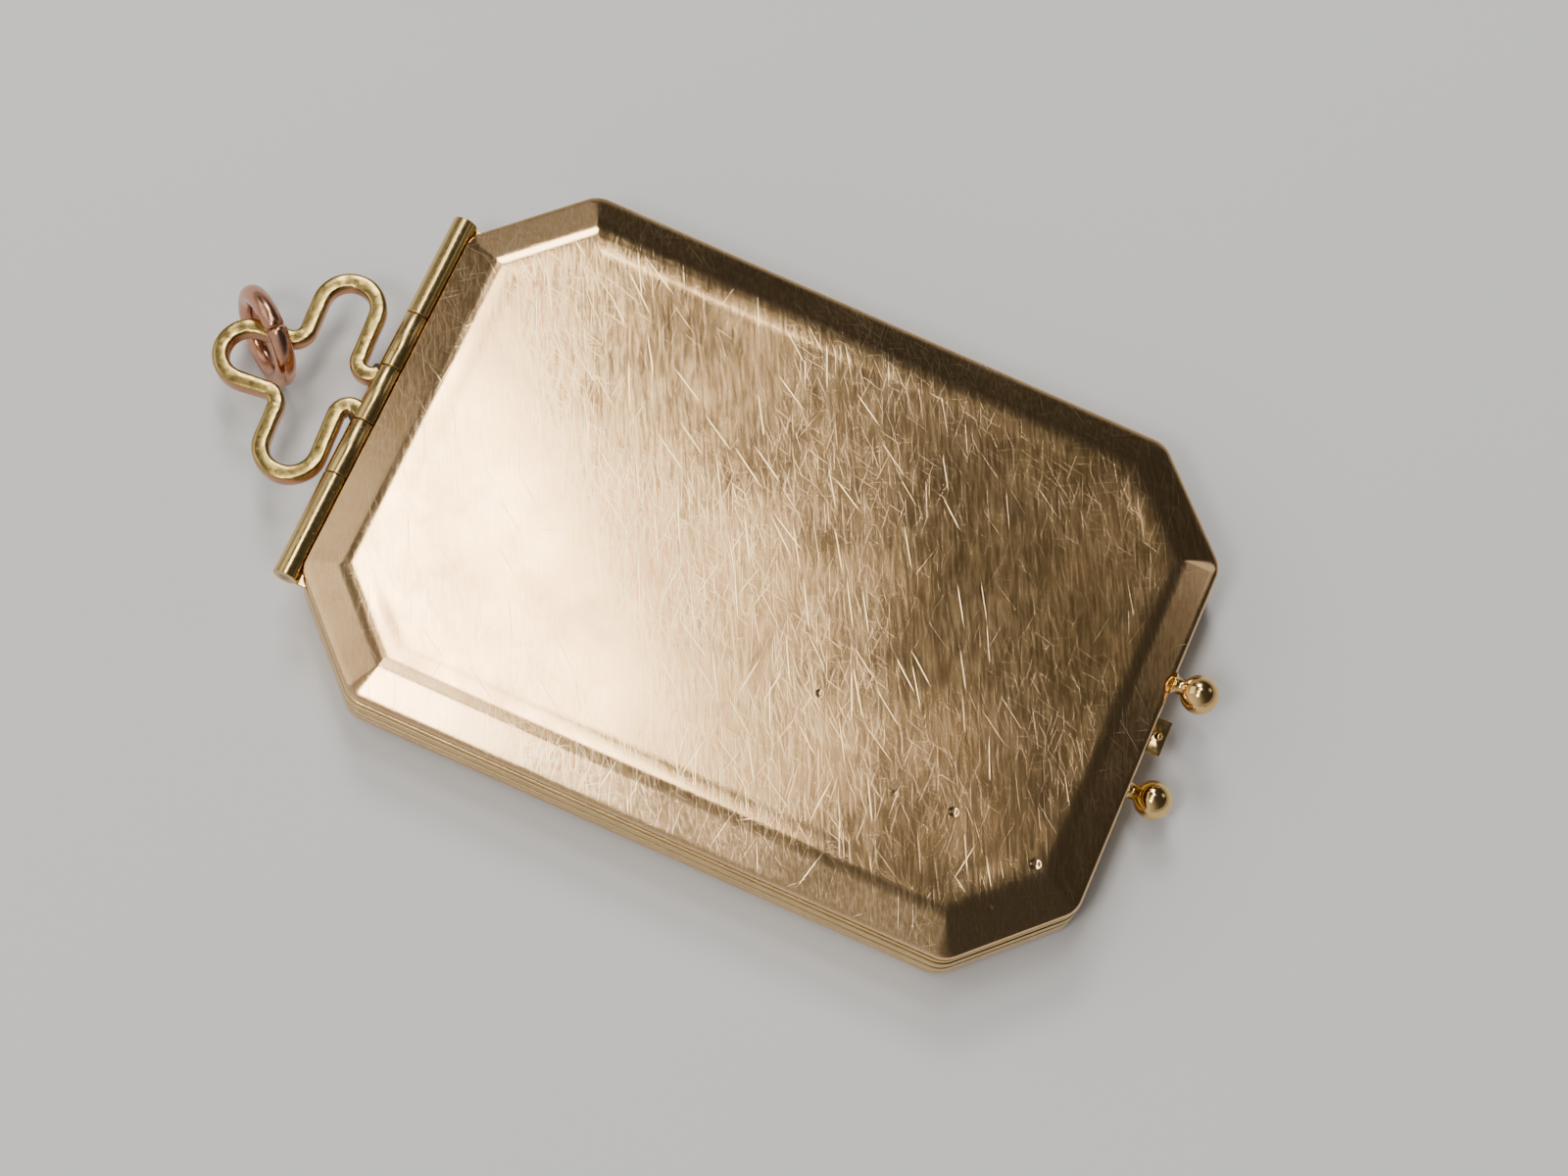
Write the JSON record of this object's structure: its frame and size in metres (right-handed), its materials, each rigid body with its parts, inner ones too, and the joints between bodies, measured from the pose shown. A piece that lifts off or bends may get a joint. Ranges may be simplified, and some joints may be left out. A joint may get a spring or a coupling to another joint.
{
  "type": "powder compact",
  "caption": "Eight-sided pendant powder compact with a hinged bevelled cover, reeded side band, wire bail with a jump ring, inner mirror, pressed powder and a puff.",
  "frame": {"origin": "centre of the back panel's flat outer face", "axes": "+X from the hinge to the catch, +Z from the back out through the cover, +Y completes a right-handed frame"},
  "size_m": [0.0576, 0.032, 0.0059],
  "materials": {
    "rose_gold": "polished rose rolled gold, worn and finely scratched",
    "yellow_gold": "yellow rolled gold, satin, dark in the seams",
    "bail_gold": "hammered yellow gold wire, copper brown on its sides",
    "ball_gold": "polished gold",
    "copper_gold": "polished red gold wire",
    "pin_steel": "darkened steel",
    "pan_metal": "thin bright tray metal",
    "powder": "pressed face powder, matte with a basket-weave stamp",
    "velour": "short cotton pile",
    "mirror": "silvered glass, slightly foxed",
    "card": "grey-brown backing card"
  },
  "bodies": {
    "base": {"back_shell": "rose_gold", "side_band": "yellow_gold", "end_knuckle_right": "yellow_gold", "end_knuckle_left": "yellow_gold", "centre_knuckle": "yellow_gold", "hinge_pin": "pin_steel", "bail": "bail_gold", "base_ball": "ball_gold", "catch_tongue": "ball_gold", "powder_pan": "pan_metal", "powder_cake": "powder", "pan_frame": "yellow_gold", "powder_puff": "velour"},
    "cover": {"cover_shell": "rose_gold", "cover_knuckles": "yellow_gold", "cover_lining": "yellow_gold", "mirror_glass": "mirror", "mirror_card": "card", "mirror_bezel": "yellow_gold", "cover_ball": "ball_gold", "catch_keeper": "yellow_gold"},
    "ring": {"jump_ring": "copper_gold"}
  },
  "joints": [
    {"name": "cover_hinge", "type": "hinge", "parent": "base", "child": "cover", "pos_m": [-0.023, 0, 0.00415], "axis": [0, -1, 0], "range_deg": [0, 100]},
    {"name": "ring_swing", "type": "hinge", "parent": "base", "child": "ring", "pos_m": [-0.0301, 0.00111, 0.00354], "axis": [-0.9938, -0.0695, -0.0872], "range_deg": [-80, 24]}
  ]
}
